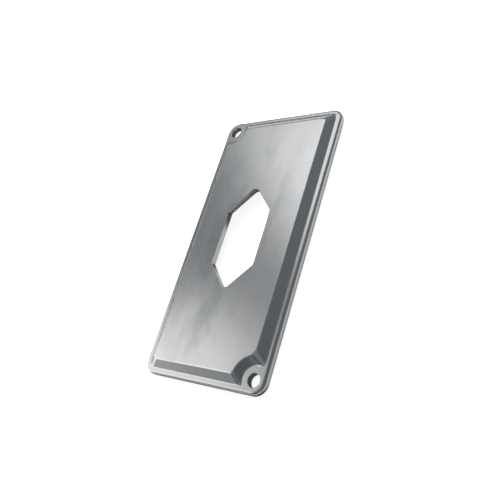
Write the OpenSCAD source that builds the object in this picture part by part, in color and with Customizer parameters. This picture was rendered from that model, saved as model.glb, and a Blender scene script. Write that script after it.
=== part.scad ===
// Cover for a conduit body, cast as one piece of metal.
// It lies on its flat back: X runs across it, Y along it and Z out of its front.
// The origin is the centre of the back face.

/* [Plate] */
// Width of the plate, across X
plate_w = 50; // [44:0.5:90]
// Length of the plate, along Y
plate_l = 99; // [80:0.5:180]
// Thickness of the metal, the same in the rim, the walls and the panel
metal_t = 2.15; // [1.6:0.05:3]
// Radius of the plate's corners, seen from the front
corner_r = 4.3; // [3:0.1:8]
// Radius of the rounded edge round the front of the rim
rim_edge_r = 1; // [0.2:0.1:1.5]

/* [Raised panel] */
// Height of the panel's face above the rim's face
panel_rise = 2.05; // [1:0.05:4]
// Slope of the panel's wall, in degrees up from the rim
wall_slope = 38; // [34:1:70]
// Width of the rim, from the plate's edge to the foot of the wall
rim_w = 2.25; // [2:0.05:6]
// Radius of the rounded edge round the panel's face
face_edge_r = 0.8; // [0.2:0.1:1.5]
// Radius of the hollow where the rim turns up into the wall
foot_r = 0.8; // [0.2:0.1:1]

/* [Hollow back] */
// Radius of the hollow's corners, seen from the back, at its floor
hollow_corner_r = 0.4; // [0.2:0.1:4]
// Radius of the rounded edge round the mouth of the hollow
mouth_edge_r = 0.5; // [0.2:0.1:1.2]
// Radius of the fillet between the hollow's floor and its wall
floor_fillet_r = 0.5; // [0.2:0.1:1]

/* [Screw holes] */
// Diameter of the two screw holes
hole_d = 4.3; // [3:0.1:5]
// Distance of each hole's centre from the two edges it is nearest to
hole_inset = 4.3; // [3.8:0.1:8]
// Radius of the panel's notch round a screw hole, at the rim's face
notch_r = 4.2; // [4:0.1:9]

/* [Opening] */
// Width of the six-sided opening
opening_w = 17.7; // [8:0.1:24]
// Length of the opening from point to point
opening_l = 38.2; // [26:0.1:60]
// Length of the opening's two straight sides
opening_side = 19.8; // [8:0.1:24]
// Radius of the opening's six corners
opening_corner_r = 2; // [0.2:0.1:3]

/* [Hidden] */
$fn = 96;

// How far the wall runs inwards as it climbs to the face
wall_run = panel_rise / tan(wall_slope);
// Sideways step from an edge of the front to the same edge of the back, one metal thickness behind it
skin_step = metal_t * tan(wall_slope / 2);

face_z = metal_t + panel_rise;
face_inset = rim_w + wall_run;
face_corner_r = hollow_corner_r + skin_step;
floor_inset = face_inset + skin_step;
// How far a cut runs past the surface that it opens
past = 1;
// How deep the panel's base sits in the plate
base_depth = metal_t / 2;

// Fillet circles are drawn this much too large, so that they cross their lines and don't just touch them
crossing = 1.0002;

// Distance from a corner to the start of its fillet, where two lines meet and turn by an angle
function setback(r, turn) = r * tan(turn / 2);

// The space between a fillet's circle and the corner that it rounds
// a and b are unit vectors from the circle's centre, square to the corner's two lines
module spandrel(centre, r, a, b) {
  base_through_corner = 2 * r / (1 + a * b);
  reach = base_through_corner * 1.1;
  difference() {
    polygon([centre, centre + a * reach, centre + b * reach]);
    translate(centre) circle(r * crossing);
  }
}

// Half a section: a bank that is rise high and reach wide on top, from the Y axis out to a slope
// edge_r rounds the edge on top, foot_r fills the angle at the foot and skirt is the depth below the foot
module bank(reach, rise, slope, edge_r, foot_r, skirt) {
  square_to_slope = [sin(slope), cos(slope)];
  foot_x = reach + rise / tan(slope);
  toe_x = foot_x + setback(foot_r, slope);
  difference() {
    polygon([[0, rise], [reach, rise], [foot_x, 0],
      if (foot_r > 0) [toe_x, 0], if (skirt > 0) [toe_x, -skirt], [0, -skirt]]);
    spandrel([reach - setback(edge_r, slope), rise - edge_r], edge_r, square_to_slope, [0, 1]);
  }
  if (foot_r > 0)
    spandrel([toe_x, foot_r], foot_r, -square_to_slope, [0, -1]);
}

// A block with the same bank on its four sides, where size is that of its top and r rounds its corners
module banked_block(size, r, rise, slope, edge_r, foot_r = 0, skirt = 0) {
  straight = size - [2 * r, 2 * r];
  translate([-straight.x / 2, -straight.y / 2, -skirt]) cube([straight.x, straight.y, rise + skirt]);
  for (side = [0:3]) {
    half = (side % 2 == 0 ? straight : [straight.y, straight.x]) / 2;
    rotate(side * 90) translate([half.x, half.y, 0]) {
      rotate([90, 0, 0]) linear_extrude(2 * half.y) bank(r, rise, slope, edge_r, foot_r, skirt);
      rotate_extrude(angle = 90) bank(r, rise, slope, edge_r, foot_r, skirt);
    }
  }
}

// A bank turned over and spun: a cone that widens upwards from r, and runs past both of its ends
module notch_cone(r, narrow_edge_r, wide_edge_r, below) {
  translate([0, 0, panel_rise]) rotate_extrude() mirror([0, 1])
    bank(r, panel_rise, wall_slope, narrow_edge_r, wide_edge_r, past);
  translate([0, 0, -below]) cylinder(r = r - setback(narrow_edge_r, wall_slope), h = panel_rise + below);
}

// The two screw holes lie in opposite corners
module at_screw_holes() {
  for (turn = [0, 180])
    rotate(turn) translate([plate_w / 2 - hole_inset, hole_inset - plate_l / 2, 0]) children();
}

// The panel stands on a base that is sunk in the plate, with a notch beside each screw hole
module raised_panel() {
  difference() {
    banked_block([plate_w, plate_l] - 2 * [face_inset, face_inset], face_corner_r,
      panel_rise, wall_slope, face_edge_r, foot_r, base_depth);
    at_screw_holes() notch_cone(notch_r, foot_r, face_edge_r, metal_t);
  }
}

// The hollow leaves a wall of the metal's thickness behind the panel's wall and its notches
module hollow_back() {
  difference() {
    banked_block([plate_w, plate_l] - 2 * [floor_inset, floor_inset], hollow_corner_r,
      panel_rise, wall_slope, floor_fillet_r, mouth_edge_r, past);
    at_screw_holes() notch_cone(notch_r + skin_step, mouth_edge_r, floor_fillet_r, 2 * past);
  }
}

// A polygon whose corners all point outwards, with each of them rounded to a radius
module rounded_polygon(points, r) {
  count = len(points);
  difference() {
    polygon(points);
    for (i = [0:count - 1]) {
      corner = points[i];
      to_last = unit(points[(i + count - 1) % count] - corner);
      to_next = unit(points[(i + 1) % count] - corner);
      half_angle = acos(to_last * to_next) / 2;
      centre = corner + unit(to_last + to_next) * r / sin(half_angle);
      spandrel(centre, r, unit(corner + to_last * r / tan(half_angle) - centre),
        unit(corner + to_next * r / tan(half_angle) - centre));
    }
  }
}

function unit(v) = v / norm(v);

module opening_outline() {
  x = opening_w / 2;
  side_y = opening_side / 2;
  point_y = opening_l / 2;
  rounded_polygon([[x, -side_y], [x, side_y], [0, point_y], [-x, side_y], [-x, -side_y], [0, -point_y]],
    opening_corner_r);
}

module cover_plate() {
  color("lightgrey") difference() {
    union() {
      banked_block([plate_w, plate_l], corner_r, metal_t, 90, rim_edge_r);
      translate([0, 0, metal_t]) raised_panel();
    }
    hollow_back();
    at_screw_holes() translate([0, 0, -past]) cylinder(d = hole_d, h = metal_t + 2 * past);
    translate([0, 0, -past]) linear_extrude(face_z + 2 * past) opening_outline();
  }
}

cover_plate();
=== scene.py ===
# %% [markdown]
# # A cast cover for a conduit body
#
# The object is one flat cover, cast in aluminium. A narrow rim runs round a raised panel with a sloping wall.
# Two opposite corners of the panel are notched to make room for a screw hole in the rim, and a long six-sided
# opening goes through the middle. The back is hollow, so that the metal is equally thick everywhere.
#
# Each step below has a note on what the piece is, how it could be made, and why this way was chosen.

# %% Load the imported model
from math import atan2, cos, pi, radians, sin, sqrt, tan

import bmesh
import bpy
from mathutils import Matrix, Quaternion, Vector


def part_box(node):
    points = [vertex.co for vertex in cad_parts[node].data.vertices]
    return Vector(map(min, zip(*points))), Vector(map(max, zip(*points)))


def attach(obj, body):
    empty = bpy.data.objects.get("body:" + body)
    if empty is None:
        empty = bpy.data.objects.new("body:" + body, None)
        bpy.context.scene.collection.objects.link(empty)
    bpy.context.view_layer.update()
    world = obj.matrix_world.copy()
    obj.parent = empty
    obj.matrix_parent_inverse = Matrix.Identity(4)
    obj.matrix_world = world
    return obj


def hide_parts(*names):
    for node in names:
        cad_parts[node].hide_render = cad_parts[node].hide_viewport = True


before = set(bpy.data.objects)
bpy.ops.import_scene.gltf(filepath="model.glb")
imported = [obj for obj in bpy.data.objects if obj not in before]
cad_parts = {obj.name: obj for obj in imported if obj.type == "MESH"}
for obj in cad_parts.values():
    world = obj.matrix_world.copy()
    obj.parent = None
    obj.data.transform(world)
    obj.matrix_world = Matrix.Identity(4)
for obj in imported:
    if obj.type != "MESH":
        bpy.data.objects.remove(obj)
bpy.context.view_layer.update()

MM = 0.001
low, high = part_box("cover_plate")
plate_w, plate_l, face_z = high - low
print(f"Cover: {plate_w / MM:.2f} x {plate_l / MM:.2f} x {face_z / MM:.2f} mm")

# %% [markdown]
# ## Camera
#
# The photograph looks at the cover from above its lower right corner and is turned by about 52 degrees. A camera
# can be turned by hand until the picture fits. Here its place, its aim and its roll were worked out from the
# cover's own corners, so they are plain numbers. to_track_quat points the camera's -Z at the aim with +Y up,
# and one more turn about the line of sight gives the roll.

# %% Camera
CAMERA_PLACE = Vector((126.40, -67.37, 139.72)) * MM
CAMERA_AIM = Vector((2.18, -2.96, 0)) * MM
CAMERA_ROLL = radians(-52.21)

camera_data = bpy.data.cameras.new("Camera")
camera_data.sensor_width = 36
camera_data.lens = 42.73
camera_data.clip_start = 0.01
camera = bpy.data.objects.new("Camera", camera_data)
bpy.context.collection.objects.link(camera)
camera.location = CAMERA_PLACE
level = (CAMERA_AIM - CAMERA_PLACE).to_track_quat("-Z", "Y")
camera.rotation_mode = "QUATERNION"
camera.rotation_quaternion = level @ Quaternion((0, 0, 1), CAMERA_ROLL)
bpy.context.scene.camera = camera
bpy.context.scene.view_settings.view_transform = "Standard"
print(f"Camera {(CAMERA_AIM - CAMERA_PLACE).length / MM:.0f} mm from its aim, lens {camera_data.lens:.2f} mm")

# %% [markdown]
# ## The section through the edge of the cover
#
# Going inwards from any edge, the casting always has the same section: a short side, a flat rim, a wall that
# climbs at 37 degrees, and the flat face of the panel. The hollow back repeats it one metal thickness behind.
#
# A section could be a curve with a bevel profile. Here it is a list of stations, each of them an inset from the
# plate's edge and a height. Every corner of a casting is rounded, so one function swaps a sharp corner of the
# section for the stations along a small arc.

# %% Sizes of the section
metal_t = 2.15 * MM
panel_rise = face_z - metal_t
wall_slope = radians(37)
wall_run = panel_rise / tan(wall_slope)
rim_w = 2.0 * MM
# The sideways step from a corner of the front to the same corner of the back
skin_step = metal_t * tan(wall_slope / 2)
print(f"The wall runs in {wall_run / MM:.2f} mm as it climbs {panel_rise / MM:.2f} mm")


# %% Round a corner of the section
def fillet(before, corner, after, radius, steps):
    """Stations along an arc that rounds a corner between two straight lines of the section."""
    before, corner, after = Vector(before), Vector(corner), Vector(after)
    towards_before = (before - corner).normalized()
    towards_after = (after - corner).normalized()
    half_angle = towards_before.angle(towards_after) / 2
    centre = corner + (towards_before + towards_after).normalized() * radius / sin(half_angle)
    first = corner + towards_before * radius / tan(half_angle) - centre
    last = corner + towards_after * radius / tan(half_angle) - centre
    turn = first.angle_signed(last)
    stations = []
    for step in range(steps + 1):
        spoke = Vector((first.x, first.y, 0))
        spoke.rotate(Quaternion((0, 0, 1), -turn * step / steps))
        stations.append(centre + spoke.to_2d())
    return stations


# %% Corners of the section, each an inset and a height
well_inside = 12 * MM
side_foot = (0, 0)
side_top = (0, metal_t)
rim_inner = (rim_w, metal_t)
face_outer = (rim_w + wall_run, face_z)
face_inner = (well_inside, face_z)
floor_inner = (well_inside, panel_rise)
floor_outer = (rim_w + wall_run + skin_step, panel_rise)
mouth = (rim_w + skin_step, 0)

# %% Radii of the section's corners, and its stations
back_edge_r = 0.25 * MM
rim_edge_r = 1.0 * MM
wall_foot_r = 0.9 * MM
face_edge_r = 1.1 * MM
hollow_r = 0.5 * MM

side_stations = fillet(mouth, side_foot, side_top, back_edge_r, 3)
side_stations += fillet(side_foot, side_top, rim_inner, rim_edge_r, 8)
front_stations = fillet(side_top, rim_inner, face_outer, wall_foot_r, 6)
front_stations += fillet(rim_inner, face_outer, face_inner, face_edge_r, 7)
back_stations = fillet(floor_inner, floor_outer, mouth, hollow_r, 4)
back_stations += fillet(floor_outer, mouth, side_foot, hollow_r, 4)
for name, stations in (("side", side_stations), ("front", front_stations), ("back", back_stations)):
    print(name, [(round(s.x / MM, 2), round(s.y / MM, 2)) for s in stations])

# %% [markdown]
# ## Outlines
#
# Seen from the front, each station of the section is one closed outline round the cover. An outline could be drawn
# as a curve object. Here every arc of it is spun from a single vertex, and straight edges join the arcs, which is
# how a draughtsman draws it with compass and ruler. An arc is written as its centre, its radius, the angle that
# it starts at, the angle that it turns by, and its number of steps.
#
# The cover looks the same after half a turn, so each outline lists the arcs of one half and then the same arcs
# turned by 180 degrees. All outlines of a surface have the same number of vertices, and so they bridge into
# clean four-sided faces.


# %% Spin the arcs of an outline
def half_turned(arcs):
    """The arcs of one half, followed by the same arcs turned by 180 degrees."""
    return arcs + [(-centre, radius, start + pi, turn, steps) for centre, radius, start, turn, steps in arcs]


def draw_outline(bm, arcs, height):
    """Spin each arc from one vertex and join the arcs with straight edges. Returns the outline's edges."""
    known_verts = set(bm.verts)
    known_edges = set(bm.edges)
    ends = []
    for centre, radius, start, turn, steps in arcs:
        place = (centre.x + radius * cos(start), centre.y + radius * sin(start), height)
        first = bmesh.ops.create_vert(bm, co=place)["vert"][0]
        spun = bmesh.ops.spin(bm, geom=[first], cent=(centre.x, centre.y, height), axis=(0, 0, 1),
                              angle=turn, steps=steps)
        last = [item for item in spun["geom_last"] if isinstance(item, bmesh.types.BMVert)][0]
        ends.append((first, last))
    for (_, last), (first, _) in zip(ends, ends[1:] + ends[:1]):
        bm.edges.new((last, first))
    # Where one arc runs straight into the next, the edge between them has no length and is merged away
    drawn = [vert for vert in bm.verts if vert not in known_verts]
    bmesh.ops.remove_doubles(bm, verts=drawn, dist=0.001 * MM)
    return [edge for edge in bm.edges if edge not in known_edges]


# %% The plate's outline: a rectangle with four round corners
plate_corner_r = 4.3 * MM


def plate_outline(bm, inset, height):
    """The plate's edge, moved inwards by an inset."""
    x = plate_w / 2 - plate_corner_r
    y = plate_l / 2 - plate_corner_r
    arcs = [(Vector((x, -y)), plate_corner_r - inset, -pi / 2, pi / 2, 16),
            (Vector((x, y)), plate_corner_r - inset, 0, pi / 2, 16)]
    return draw_outline(bm, half_turned(arcs), height)


# %% [markdown]
# The panel's outline has a plain round corner at the top right and bottom left, and a notch at the other two. A
# notch is an arc round the screw hole. It meets each straight side in an arc that bulges out, because the sharp
# ridge there is rounded off in the casting.
#
# The notch could be cut out by a cone. Here its arc grows as the section climbs, a little less than the other
# walls run in, because it is steeper than they are. The ridges widen on the way up, and most of all where the
# notch meets the long side.

# %% Sizes of the panel's outline, at the foot of the wall and at its top
hole_inset = 4.3 * MM
screw_hole = Vector((plate_w / 2 - hole_inset, hole_inset - plate_l / 2))
panel_corner_r = (2.1 * MM, 1.7 * MM)
notch_r = (4.5 * MM, 6.8 * MM)
end_ridge_r = (0.8 * MM, 1.1 * MM)
side_ridge_r = (1.5 * MM, 3.3 * MM)
print(f"Screw holes {2 * screw_hole.length / MM:.2f} mm apart")


# %% The panel's outline: two round corners and two notches
def part_way_up(foot_and_top, climbed):
    """A size that changes evenly from the foot of the wall to its top."""
    foot, top = foot_and_top
    return foot + (top - foot) * climbed


def panel_outline(bm, inset, height):
    """The panel's outline, as far from the plate's edge as the inset says."""
    climbed = (inset - rim_w) / wall_run
    corner_r = part_way_up(panel_corner_r, climbed)
    notch = part_way_up(notch_r, climbed)
    end_r = part_way_up(end_ridge_r, climbed)
    side_r = part_way_up(side_ridge_r, climbed)
    right = plate_w / 2 - inset
    bottom = inset - plate_l / 2
    # A ridge's centre lies its radius inside the straight side, and its radius outside the notch
    end_y = bottom + end_r
    end_x = screw_hole.x - sqrt((notch + end_r)**2 - (end_y - screw_hole.y)**2)
    side_x = right - side_r
    side_y = screw_hole.y + sqrt((notch + side_r)**2 - (side_x - screw_hole.x)**2)
    end_angle = atan2(screw_hole.y - end_y, screw_hole.x - end_x)
    side_angle = atan2(screw_hole.y - side_y, screw_hole.x - side_x)
    arcs = [(Vector((-right + corner_r, bottom + corner_r)), corner_r, pi, pi / 2, 12),
            (Vector((end_x, end_y)), end_r, -pi / 2, end_angle + pi / 2, 10),
            (screw_hole, notch, end_angle + pi, side_angle - end_angle, 24),
            (Vector((side_x, side_y)), side_r, side_angle, -side_angle, 10)]
    return draw_outline(bm, half_turned(arcs), height)


# %% [markdown]
# The opening's outline is a long hexagon. Where its slanting sides meet, at the two points, it is rounder than
# at the ends of its straight sides.

# %% The outline of the six-sided opening
opening_w = 17.7 * MM
opening_l = 38.2 * MM
opening_side = 19.8 * MM
shoulder_r = 1.0 * MM
point_r = 2.0 * MM


def opening_outline(bm, grow, height):
    """The opening's outline, moved outwards by the same distance all round."""
    shoulder = Vector((opening_w / 2, opening_side / 2))
    point = Vector((0, opening_l / 2))
    shoulder_turn = Vector((0, 1)).angle((point - shoulder).normalized())
    point_turn = pi - 2 * shoulder_turn
    upper = shoulder - Vector((shoulder_r, shoulder_r * tan(shoulder_turn / 2)))
    lower = Vector((upper.x, -upper.y))
    point_centre = point - Vector((0, point_r / cos(point_turn / 2)))
    arcs = [(lower, shoulder_r + grow, -shoulder_turn, shoulder_turn, 6),
            (upper, shoulder_r + grow, 0, shoulder_turn, 6),
            (point_centre, point_r + grow, shoulder_turn, point_turn, 12)]
    return draw_outline(bm, half_turned(arcs), height)


# %% The outline of a screw hole
hole_r = 2.15 * MM


def screw_hole_outline(bm, side, grow, height):
    """The hole at the lower right, or with a side of -1 the one at the upper left."""
    centre = screw_hole * side
    return draw_outline(bm, [(centre, hole_r + grow, start, pi, 24) for start in (0, pi)], height)


# %% [markdown]
# ## The casting
#
# The cover could be a box with the notches, the holes and the hollow cut out by Boolean modifiers. That leaves long
# thin faces round every cut, and they spoil the reflections that make metal look like metal. Bridging one
# outline to the next gives even strips instead, each as wide as its station asks.
#
# The flat faces have two or more outlines: the rim has its own edge, the foot of the wall and the two screw
# holes. Fill spans any number of outlines at once, so it closes these. Each fill is then inset by a narrow strip,
# the same support that an edge loop gives beside a bevel.

# %% Bridge outlines and fill flat faces
strip_w = 0.12 * MM


def bridge_all(bm, outlines):
    """Join each outline to the next with a strip of faces."""
    for lower, upper in zip(outlines, outlines[1:]):
        bmesh.ops.bridge_loops(bm, edges=lower + upper)


def fill_flat(bm, outlines, normal):
    """Fill between outlines, and inset the fill by a narrow strip, which keeps it flat beside a round edge."""
    edges = [edge for outline in outlines for edge in outline]
    filled = bmesh.ops.triangle_fill(bm, edges=edges, use_beauty=True, normal=normal)
    faces = [item for item in filled["geom"] if isinstance(item, bmesh.types.BMFace)]
    bmesh.ops.inset_region(bm, faces=faces, thickness=strip_w, use_even_offset=True)


# %% The side, the front and the hollow back
bm = bmesh.new()
side = [plate_outline(bm, s.x, s.y) for s in side_stations]
front = [panel_outline(bm, s.x, s.y) for s in front_stations]
back = [panel_outline(bm, s.x, s.y) for s in back_stations]
for surface in (side, front, back):
    bridge_all(bm, surface)
print("Side, front and back:", len(bm.faces), "faces")

# %% The opening and the screw holes, with their sharp edges just broken
edge_break = 0.1 * MM
in_the_metal = -5 * MM


def wall_stations(top, bottom):
    """Stations down the wall of an opening, where less than 0 is in the metal."""
    stations = fillet((in_the_metal, top), (0, top), (0, bottom), edge_break, 3)
    return stations + fillet((0, top), (0, bottom), (in_the_metal, bottom), edge_break, 3)


opening = [opening_outline(bm, -s.x, s.y) for s in wall_stations(face_z, panel_rise)]
bridge_all(bm, opening)
holes = [[screw_hole_outline(bm, turn, -s.x, s.y) for s in wall_stations(metal_t, 0)] for turn in (1, -1)]
for hole in holes:
    bridge_all(bm, hole)
print("With the opening and the holes:", len(bm.faces), "faces")

# %% The flat faces: the rim, the panel's face, the hollow's floor and the back of the rim
up = (0, 0, 1)
down = (0, 0, -1)
fill_flat(bm, [side[-1], front[0], holes[0][0], holes[1][0]], up)
fill_flat(bm, [front[-1], opening[0]], up)
fill_flat(bm, [back[0], opening[-1]], down)
fill_flat(bm, [back[-1], side[0], holes[0][-1], holes[1][-1]], down)

bmesh.ops.recalc_face_normals(bm, faces=bm.faces)
for face in bm.faces:
    face.smooth = True
open_edges = [edge for edge in bm.edges if not edge.is_manifold]
print(f"Casting: {len(bm.faces)} faces, {len(open_edges)} open edges, {bm.calc_volume() / MM**3:.0f} mm3")

# %% Put the casting in the scene
cover_mesh = bpy.data.meshes.new("conduit_cover")
bm.to_mesh(cover_mesh)
bm.free()
cover = bpy.data.objects.new("conduit_cover", cover_mesh)
bpy.context.collection.objects.link(cover)
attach(cover, "root")
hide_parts("cover_plate")

# %% [markdown]
# ## Flat faces that stay flat
#
# Smooth shading blends the direction of neighbouring faces, which makes a flat face look puffed up beside a fillet.
# The strips hold most of it back. The Weighted Normal modifier does the rest: large faces have more say than
# small ones, so the flats stay flat and only the fillets bend.

# %% Weight the normals by area
weighted = cover.modifiers.new("Even shading", "WEIGHTED_NORMAL")
weighted.mode = "FACE_AREA"
weighted.weight = 50
weighted.keep_sharp = False
print("Modifiers:", [modifier.name for modifier in cover.modifiers])

# %% [markdown]
# ## Die-cast aluminium
#
# Die-cast aluminium is melted metal pressed into a steel mould. It leaves the mould with a smooth, slightly dull
# grey skin, which the rim and the walls still have. The panel's face was then linished, rubbed on a fine belt
# along the cover, which makes it brighter and gives it a faint grain. Hands have left cloudy smudges on it.
#
# The metal could be a photograph of metal laid on the cover. Node patterns are used here, because they have no
# seams and keep their size in millimetres. Three noise textures do it: broad clouds for the smudges, a noise
# drawn out 25 times along the cover for the grain, and an even one for the skin's fine unevenness. The belt's
# real lines are about 0.1 mm wide, too fine for this picture, so the grain is drawn 0.8 mm wide and very faint.
# Height above the back tells the linished face from the cast rim and walls.


# %% Colours and nodes
def hex_colour(code):
    """An sRGB hex colour as linear red, green, blue and alpha."""
    parts = [int(code[i:i + 2], 16) / 255 for i in (1, 3, 5)]
    return [part / 12.92 if part <= 0.04045 else ((part + 0.055) / 1.055)**2.4 for part in parts] + [1]


def add_node(tree, kind, inputs, **properties):
    """Add a node with its properties, and set or link each of its inputs."""
    node = tree.nodes.new(kind)
    for name, value in properties.items():
        setattr(node, name, value)
    for name, value in inputs.items():
        if isinstance(value, bpy.types.NodeSocket):
            tree.links.new(value, node.inputs[name])
        else:
            node.inputs[name].default_value = value
    return node


# %% Sizes of the metal's patterns
smudge_w = 8 * MM
grain_w = 0.8 * MM
skin_w = 0.7 * MM
bump_depth = 0.05 * MM
# Hands touch the middle of the face most: the place, and how far the smudges reach across and along
grip = Vector((-4, -6, 0)) * MM
grip_reach = (20 * MM, 34 * MM)


# %% The metal: satin, so that lamps and paper show in it as soft patches with no hard outline
def die_cast_aluminium():
    material = bpy.data.materials.new("Die-cast aluminium, linished")
    material.use_nodes = True
    tree = material.node_tree
    shader = tree.nodes["Principled BSDF"]
    place = add_node(tree, "ShaderNodeTexCoord", {}).outputs["Object"]

    # Where: 1 on the linished face and 0 below it, and 1 to 0.2 from the middle of the face outwards
    heights = add_node(tree, "ShaderNodeSeparateXYZ", {"Vector": place})
    on_face = add_node(tree, "ShaderNodeMapRange", {
        "Value": heights.outputs["Z"], "From Min": face_z - 0.15 * MM, "From Max": face_z, "To Min": 0, "To Max": 1})
    from_grip = add_node(tree, "ShaderNodeVectorMath", {0: place, 1: grip}, operation="SUBTRACT")
    from_grip = add_node(tree, "ShaderNodeVectorMath", {
        0: from_grip.outputs["Vector"], 1: (1 / grip_reach[0], 1 / grip_reach[1], 0)}, operation="MULTIPLY")
    from_grip = add_node(tree, "ShaderNodeVectorMath", {0: from_grip.outputs["Vector"]}, operation="LENGTH")
    handled = add_node(tree, "ShaderNodeMapRange", {
        "Value": from_grip.outputs["Value"], "From Min": 0.5, "From Max": 1.4, "To Min": 1, "To Max": 0.2})

    # The three patterns
    smudge_place = add_node(tree, "ShaderNodeMapping", {"Vector": place, "Scale": (1, 0.5, 1)})
    smudges = add_node(tree, "ShaderNodeTexNoise", {
        "Vector": smudge_place.outputs["Vector"], "Scale": 1 / smudge_w, "Detail": 3, "Roughness": 0.5})
    grain_place = add_node(tree, "ShaderNodeMapping", {"Vector": place, "Scale": (1, 0.04, 1)})
    grain = add_node(tree, "ShaderNodeTexNoise", {
        "Vector": grain_place.outputs["Vector"], "Scale": 1 / grain_w, "Detail": 3, "Roughness": 0.6})
    skin = add_node(tree, "ShaderNodeTexNoise", {
        "Vector": place, "Scale": 1 / skin_w, "Detail": 4, "Roughness": 0.6})

    # Colour: smudges darken the linished face, and the cast skin is one grey
    clean = add_node(tree, "ShaderNodeMapRange", {
        "Value": smudges.outputs["Fac"], "From Min": 0.36, "From Max": 0.56, "To Min": 0, "To Max": 1})
    dirt = add_node(tree, "ShaderNodeMath", {0: 1.0, 1: clean.outputs["Result"]}, operation="SUBTRACT")
    dirt = add_node(tree, "ShaderNodeMath", {0: dirt.outputs["Value"], 1: handled.outputs["Result"]},
                    operation="MULTIPLY")
    tint = add_node(tree, "ShaderNodeValToRGB", {"Fac": dirt.outputs["Value"]})
    tint.color_ramp.elements[0].color = hex_colour("#D0D0D0")
    tint.color_ramp.elements[1].color = hex_colour("#B6B7B7")
    colour = add_node(tree, "ShaderNodeMix", {
        0: on_face.outputs["Result"], 6: hex_colour("#C6C7C7"), 7: tint.outputs["Color"]}, data_type="RGBA")
    tree.links.new(colour.outputs[2], shader.inputs["Base Color"])

    # Gloss: a smudge is a little duller, and the grain varies it a little more
    dull = add_node(tree, "ShaderNodeMapRange", {
        "Value": dirt.outputs["Value"], "From Min": 0, "From Max": 1, "To Min": 0.26, "To Max": 0.28})
    worn = add_node(tree, "ShaderNodeMapRange", {
        "Value": grain.outputs["Fac"], "From Min": 0.3, "From Max": 0.7, "To Min": -0.01, "To Max": 0.01})
    rough = add_node(tree, "ShaderNodeMath", {0: dull.outputs["Result"], 1: worn.outputs["Result"]},
                     operation="ADD")
    tree.links.new(rough.outputs["Value"], shader.inputs["Roughness"])

    # Relief: the grain and the skin's unevenness, both very faint
    grain_bump = add_node(tree, "ShaderNodeBump", {
        "Height": grain.outputs["Fac"], "Strength": 0.01, "Distance": bump_depth})
    skin_bump = add_node(tree, "ShaderNodeBump", {
        "Height": skin.outputs["Fac"], "Strength": 0.04, "Distance": bump_depth,
        "Normal": grain_bump.outputs["Normal"]})
    tree.links.new(skin_bump.outputs["Normal"], shader.inputs["Normal"])
    shader.inputs["Metallic"].default_value = 1
    return material


cover_mesh.materials.append(die_cast_aluminium())
print("Material:", cover_mesh.materials[0].name)

# %% [markdown]
# ## The floor
#
# The cover was photographed on white, as catalogues do it: on a sheet of paper that curves up behind the object,
# so that no line shows where the floor ends. A large plane would do from this side. A round sweep with a raised,
# bevelled rim looks the same from every side.
#
# What makes the paper pure white in the picture is an emission that the Light Path node gives to camera rays.
# Metal and glass see only a little of it: 0.05, where the camera sees 0.9. With all of it the cover's sides and
# the opening's walls come out nearly white, and the photograph has them grey. The rest of what they mirror is
# the lit paper with the cover's own shadow on it. The paper's own colour is a mid grey, and two lamps of its own
# make up for that, because then the shadow mirrors dark.

# %% Paper sweep
sweep_r = 3
sweep_rise = 0.8
sweep_bend = 0.5
under_cover = -0.2 * MM

bm = bmesh.new()
bmesh.ops.create_circle(bm, cap_ends=True, segments=96, radius=sweep_r)
rim = [edge for edge in bm.edges if edge.is_boundary]
raised = bmesh.ops.extrude_edge_only(bm, edges=rim)
raised_verts = [item for item in raised["geom"] if isinstance(item, bmesh.types.BMVert)]
bmesh.ops.translate(bm, verts=raised_verts, vec=(0, 0, sweep_rise))
bmesh.ops.bevel(bm, geom=rim, offset=sweep_bend, segments=8, profile=0.5, affect="EDGES", material=-1)
bmesh.ops.translate(bm, verts=bm.verts, vec=(0, 0, under_cover))
for face in bm.faces:
    face.smooth = len(face.verts) == 4
sweep_mesh = bpy.data.meshes.new("paper_sweep")
bm.to_mesh(sweep_mesh)
bm.free()
sweep = bpy.data.objects.new("paper_sweep", sweep_mesh)
bpy.context.collection.objects.link(sweep)
print(f"Paper sweep: {2 * sweep_r} m across, {sweep_rise} m high at its edge")

# %% The paper: matt, so that it shows light and shadow but no lamp
white_for_camera = 0.9
white_for_mirrors = 0.05

paper_material = bpy.data.materials.new("Studio paper, white matt")
paper_material.use_nodes = True
tree = paper_material.node_tree
tree.nodes.clear()
paper = add_node(tree, "ShaderNodeBsdfDiffuse", {"Color": hex_colour("#949494")})
light_path = add_node(tree, "ShaderNodeLightPath", {})
white = add_node(tree, "ShaderNodeMath", {0: light_path.outputs["Is Camera Ray"], 1: white_for_camera},
                 operation="MULTIPLY")
for ray in ("Is Glossy Ray", "Is Transmission Ray"):
    white = add_node(tree, "ShaderNodeMath", {0: light_path.outputs[ray], 1: white_for_mirrors,
                                              2: white.outputs["Value"]}, operation="MULTIPLY_ADD")
glow = add_node(tree, "ShaderNodeEmission", {"Color": (1, 1, 1, 1), "Strength": white.outputs["Value"]})
both = add_node(tree, "ShaderNodeAddShader", {0: paper.outputs["BSDF"], 1: glow.outputs["Emission"]})
add_node(tree, "ShaderNodeOutputMaterial", {"Surface": both.outputs["Shader"]})
sweep_mesh.materials.append(paper_material)
print("Paper:", paper_material.name)

# %% [markdown]
# ## The lamps
#
# Satin metal shows its lamps more than its colour. The bright ends and the dark middle of the face are the
# softboxes and the gap between them, so each lamp was placed by working out which way the metal there looks.
# Two area lamps do this, one at the far end and one low on the left.
#
# The sides of the rim and of the opening mirror the paper next to the cover. Two more lamps light that paper and
# are kept out of mirrored rays, so that they don't show in the metal as spots. They are stronger than a plain
# level and suit only a mid grey paper and an object that is all metal: a piece of any other material would be
# lit too strongly. A sun lights all of the paper, and a lamp near the far end makes it brighter there.


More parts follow.
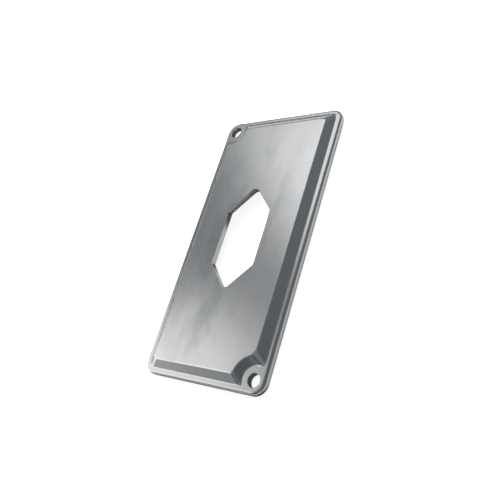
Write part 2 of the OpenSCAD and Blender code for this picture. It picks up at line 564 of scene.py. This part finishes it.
# %% Hang a lamp
def hang_lamp(name, kind, place):
    """A lamp at a place, turned towards the cover."""
    lamp = bpy.data.objects.new(name, bpy.data.lights.new(name, kind))
    lamp.location = place
    lamp.rotation_mode = "QUATERNION"
    lamp.rotation_quaternion = place.to_track_quat("Z", "Y")
    bpy.context.collection.objects.link(lamp)
    return lamp


# %% Softboxes
softbox_distance = 1.2


def softbox(name, azimuth, elevation, width, height, brightness):
    """A rectangular area lamp that faces the cover from a direction, as bright as a sheet of that radiance."""
    way = Vector((cos(azimuth) * cos(elevation), sin(azimuth) * cos(elevation), sin(elevation)))
    lamp = hang_lamp(name, "AREA", way * softbox_distance)
    lamp.data.shape = "RECTANGLE"
    lamp.data.size = width
    lamp.data.size_y = height
    lamp.data.energy = brightness * width * height * pi


softbox("Key softbox", radians(114), radians(49), 0.925, 0.405, 1.4)
softbox("Fill softbox", radians(195), radians(29.7), 0.97, 1.16, 1.26)

# %% Lamps for the paper
far_lamp = hang_lamp("Far paper light", "SUN", Vector((-0.21, 0.98, 0.66)))
far_lamp.data.energy = 6.0
far_lamp.data.angle = radians(8)
near_lamp = hang_lamp("Near paper light", "POINT", Vector((-25, 205, 140)) * MM)
near_lamp.data.energy = 4.4
near_lamp.data.shadow_soft_size = 17.5 * MM
for lamp in (far_lamp, near_lamp):
    lamp.visible_glossy = False

# %% [markdown]
# ## The world
#
# The rest of what the metal mirrors is the studio: a dim, slightly blue room, a bit brighter towards the far end,
# with three soft glows where pale walls and a ceiling would be. A photograph of a studio could go here. A few
# nodes do it with smooth changes only: the dot product of a view direction with a glow's own direction says how
# near the two are, and a Map Range turns that into light.

# %% World
world = bpy.data.worlds.new("Studio")
bpy.context.scene.world = world
world.use_nodes = True
tree = world.node_tree
way = add_node(tree, "ShaderNodeTexCoord", {}).outputs["Generated"]
way_parts = add_node(tree, "ShaderNodeSeparateXYZ", {"Vector": way})
room = add_node(tree, "ShaderNodeMapRange", {
    "Value": way_parts.outputs["Y"], "From Min": 0, "From Max": 0.6, "To Min": 0.14, "To Max": 0.24})


# %% Glows on the walls and the ceiling
def glow_towards(direction, edge, core, strength):
    """Light that grows round a direction, from nothing at the nearness of its edge to all of it at its core."""
    nearness = add_node(tree, "ShaderNodeVectorMath", {0: way, 1: direction}, operation="DOT_PRODUCT")
    return add_node(tree, "ShaderNodeMapRange", {
        "Value": nearness.outputs["Value"], "From Min": edge, "From Max": core, "To Min": 0, "To Max": strength})


left_wall = glow_towards((-0.94, -0.34, 0), 0.7, 0.95, 0.36)
back_wall = glow_towards((-0.85, 0.53, 0), 0.6, 0.8, 0.15)
ceiling = glow_towards((-0.05, -0.25, 0.967), 0.93, 0.985, 0.24)
low_down = add_node(tree, "ShaderNodeMapRange", {
    "Value": way_parts.outputs["Z"], "From Min": 0.3, "From Max": 0.5, "To Min": 1, "To Max": 0})
walls = add_node(tree, "ShaderNodeMath", {0: back_wall.outputs["Result"], 1: low_down.outputs["Result"],
                                          2: left_wall.outputs["Result"]}, operation="MULTIPLY_ADD")
glows = add_node(tree, "ShaderNodeMath", {0: walls.outputs["Value"], 1: ceiling.outputs["Result"]},
                 operation="ADD")

# %% Add the glows to the room
plain = tree.nodes["Background"]
plain.inputs["Color"].default_value = hex_colour("#EEF8FF")
tree.links.new(room.outputs["Result"], plain.inputs["Strength"])
glow = add_node(tree, "ShaderNodeBackground", {
    "Color": hex_colour("#FFFFFF"), "Strength": glows.outputs["Value"]})
both = add_node(tree, "ShaderNodeAddShader", {0: plain.outputs["Background"], 1: glow.outputs["Background"]})
tree.links.new(both.outputs["Shader"], tree.nodes["World Output"].inputs["Surface"])
print("World:", world.name, "with", len(tree.nodes), "nodes")
